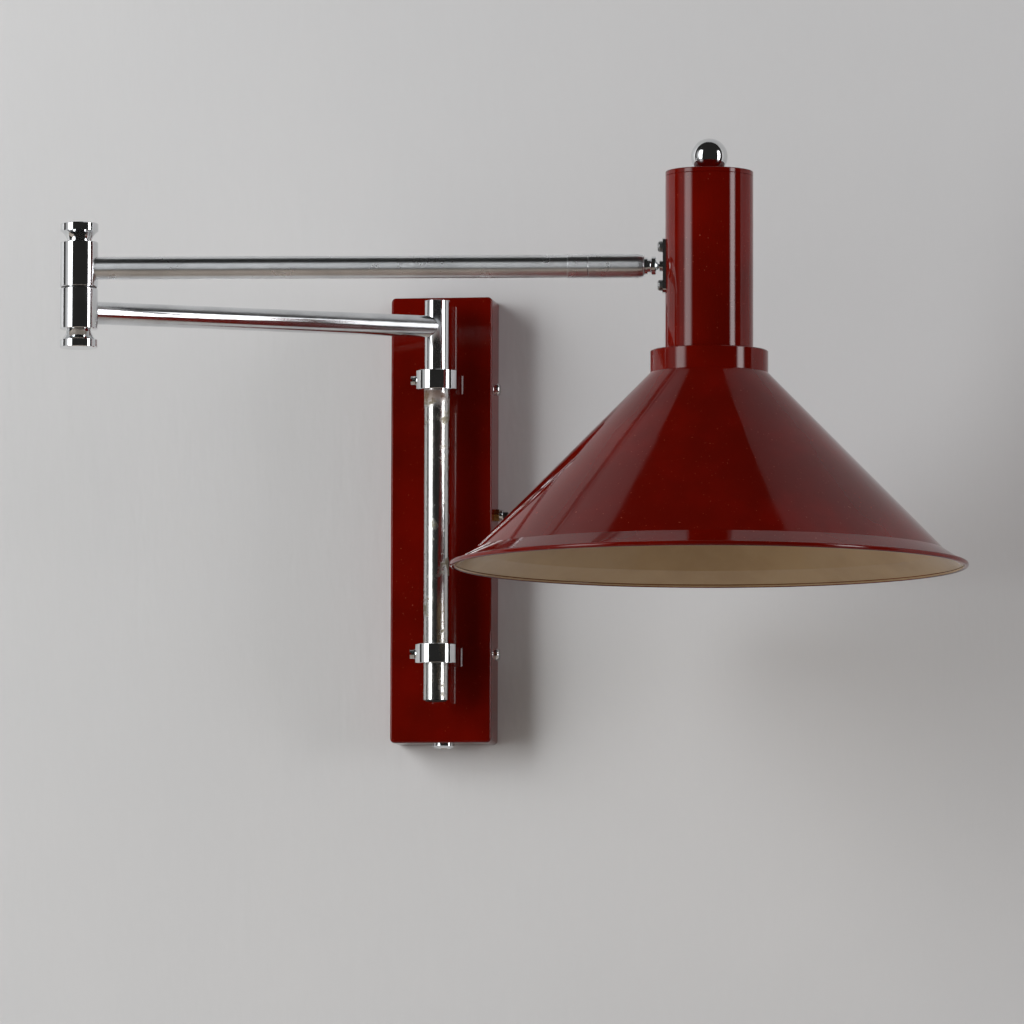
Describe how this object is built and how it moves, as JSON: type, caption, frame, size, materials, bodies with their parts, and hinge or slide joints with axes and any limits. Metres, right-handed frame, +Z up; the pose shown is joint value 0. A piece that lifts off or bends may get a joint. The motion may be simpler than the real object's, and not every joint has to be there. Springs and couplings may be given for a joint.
{
  "type": "swing arm wall lamp",
  "caption": "Wall lamp with a wide cone shade on a two-part swing arm. Its post turns and slides in ring brackets on a narrow wall box.",
  "frame": {"origin": "middle of the wall box's back, on the wall", "axes": "+Y into the wall, +Z up, +X to the right of someone who faces the wall"},
  "size_m": [0.6188, 0.4002, 0.4026],
  "materials": {
    "red_lacquer": "gloss lacquer",
    "bright_chrome": "polished",
    "worn_chrome": "polished, worn and spotted",
    "plated_steel": "zinc plated",
    "brass": "dull, as turned",
    "black_plastic": "satin",
    "white_plastic": "gloss"
  },
  "bodies": {
    "wall_base": {"back_plate": "plated_steel", "wall_box": "red_lacquer", "cover_screws": "bright_chrome", "upper_bracket": "bright_chrome", "lower_bracket": "bright_chrome", "pinch_screws": "bright_chrome", "bracket_washers": "plated_steel", "bracket_nuts": "plated_steel", "cable_grommet": "bright_chrome", "grommet_nut": "plated_steel", "terminal_block": "white_plastic", "switch_body": "black_plastic", "switch_bush": "bright_chrome", "switch_nut": "brass"},
    "switch_button": {"switch_button": "black_plastic"},
    "post_carriage": {"post_end_bush": "black_plastic"},
    "post": {"post_tube": "worn_chrome", "post_plug": "bright_chrome", "lower_arm_tube": "bright_chrome", "elbow_lower_barrel": "bright_chrome", "elbow_washer": "black_plastic", "pivot_stud": "plated_steel"},
    "bottom_knob": {"bottom_knob": "bright_chrome"},
    "upper_arm": {"elbow_upper_barrel": "bright_chrome", "upper_arm_tube": "bright_chrome", "arm_ferrule": "bright_chrome"},
    "top_knob": {"top_knob": "bright_chrome"},
    "arm_end": {"end_sleeve": "bright_chrome", "swivel_cup": "bright_chrome"},
    "head": {"ball_stud": "bright_chrome", "head_plate": "bright_chrome", "backing_strip": "plated_steel", "head_plate_screws": "plated_steel", "neck_cup": "red_lacquer", "neck_cap": "red_lacquer", "ball_finial": "bright_chrome", "nipple": "brass", "nipple_nut": "brass", "collar_ring": "red_lacquer", "cone_shade": "red_lacquer", "flange_screws": "plated_steel", "holder_dome": "black_plastic", "holder_skirt": "black_plastic", "holder_insulator": "white_plastic", "screw_shell": "brass", "centre_contact": "brass"}
  },
  "joints": [
    {"name": "switch_press", "type": "slide", "parent": "wall_base", "child": "switch_button", "axis": [1, 0, 0], "range_m": [-0.0025, 0], "stiffness_N_per_m": 300},
    {"name": "post_slide", "type": "slide", "parent": "wall_base", "child": "post_carriage", "axis": [0, 0, 1], "range_m": [-0.012, 0.022]},
    {"name": "post_swivel", "type": "hinge", "parent": "post_carriage", "child": "post", "pos_m": [0, -0.052, 0.0115], "axis": [0, 0, 1], "range_deg": [-47, 9]},
    {"name": "bottom_knob_turn", "type": "hinge", "parent": "post", "child": "bottom_knob", "pos_m": [-0.2146, -0.26363, 0.106], "axis": [0, 0, 1], "range_deg": [-90, 90]},
    {"name": "elbow", "type": "hinge", "parent": "post", "child": "upper_arm", "pos_m": [-0.2146, -0.26363, 0.1545], "axis": [0, 0, -1], "range_deg": [-5, 190]},
    {"name": "top_knob_turn", "type": "hinge", "parent": "upper_arm", "child": "top_knob", "pos_m": [-0.2146, -0.26363, 0.178], "axis": [0, 0, 1], "range_deg": [-90, 90]},
    {"name": "head_roll", "type": "hinge", "parent": "upper_arm", "child": "arm_end", "pos_m": [0.14704, -0.23008, 0.1545], "axis": [0.9957, 0.0924, 0], "range_deg": [-75, 12]},
    {"name": "head_tilt", "type": "hinge", "parent": "arm_end", "child": "head", "pos_m": [0.17691, -0.22731, 0.1545], "axis": [-0.0924, 0.9957, 0], "range_deg": [-25, 25]}
  ]
}
